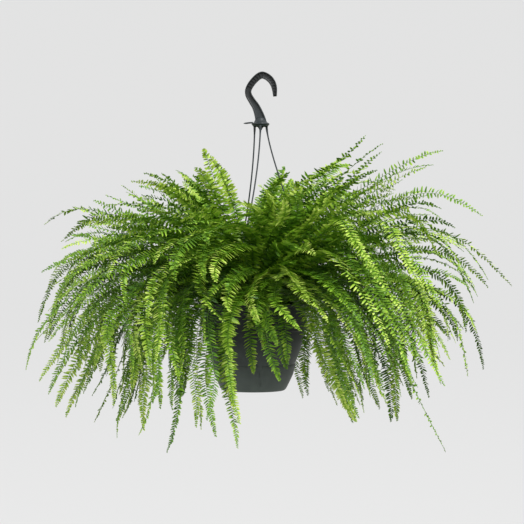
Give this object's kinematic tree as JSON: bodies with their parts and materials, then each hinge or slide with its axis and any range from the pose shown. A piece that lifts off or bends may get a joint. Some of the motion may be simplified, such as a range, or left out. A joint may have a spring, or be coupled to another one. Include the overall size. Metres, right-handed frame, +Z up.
{
  "type": "hanging potted fern",
  "caption": "Bushy potted fern with long arching, finely divided fronds in a dark plastic hanging pot with a saucer, hung by a one-piece moulded hook and strands.",
  "frame": {"origin": "the inner underside of the hook's crown, the point that bears on whatever the plant hangs from", "axes": "+Z up, -Y towards the viewer of the picture, +X to the right, so the hook is seen side on and opens to the right"},
  "size_m": [0.8892, 0.8118, 0.6765],
  "materials": {
    "hanger_plastic": "satin, injection moulded",
    "pot_plastic": "satin, anthracite",
    "potting_soil": "crumbly, matt",
    "fern_frond": "soft satin leaf"
  },
  "bodies": {
    "root": {"hanger": "hanger_plastic", "pot": "pot_plastic", "saucer": "pot_plastic", "soil": "potting_soil", "frond_tuft_01": "fern_frond", "frond_tuft_02": "fern_frond", "frond_tuft_03": "fern_frond", "frond_tuft_04": "fern_frond", "frond_tuft_05": "fern_frond", "frond_tuft_06": "fern_frond", "frond_tuft_07": "fern_frond", "frond_tuft_08": "fern_frond", "frond_tuft_09": "fern_frond", "frond_tuft_10": "fern_frond", "frond_tuft_11": "fern_frond", "frond_tuft_12": "fern_frond", "frond_tuft_13": "fern_frond", "frond_tuft_14": "fern_frond", "frond_tuft_15": "fern_frond", "frond_tuft_16": "fern_frond", "frond_tuft_17": "fern_frond", "frond_tuft_18": "fern_frond", "frond_tuft_19": "fern_frond", "frond_tuft_20": "fern_frond", "frond_tuft_21": "fern_frond", "frond_tuft_22": "fern_frond", "frond_tuft_23": "fern_frond", "frond_tuft_24": "fern_frond", "frond_tuft_25": "fern_frond", "frond_tuft_26": "fern_frond", "frond_tuft_27": "fern_frond", "frond_tuft_28": "fern_frond", "frond_tuft_29": "fern_frond", "frond_tuft_30": "fern_frond", "frond_tuft_31": "fern_frond", "frond_tuft_32": "fern_frond", "frond_tuft_33": "fern_frond", "frond_tuft_34": "fern_frond", "frond_tuft_35": "fern_frond", "frond_tuft_36": "fern_frond", "frond_tuft_37": "fern_frond", "frond_tuft_38": "fern_frond", "frond_tuft_39": "fern_frond", "frond_tuft_40": "fern_frond", "frond_tuft_41": "fern_frond", "frond_tuft_42": "fern_frond", "frond_tuft_43": "fern_frond", "frond_tuft_44": "fern_frond", "frond_tuft_45": "fern_frond", "frond_tuft_46": "fern_frond", "frond_tuft_47": "fern_frond", "frond_tuft_48": "fern_frond", "frond_tuft_49": "fern_frond", "frond_tuft_50": "fern_frond", "frond_tuft_51": "fern_frond", "frond_tuft_52": "fern_frond", "frond_tuft_53": "fern_frond", "frond_tuft_54": "fern_frond", "frond_tuft_55": "fern_frond", "frond_tuft_56": "fern_frond"}
  },
  "joints": []
}
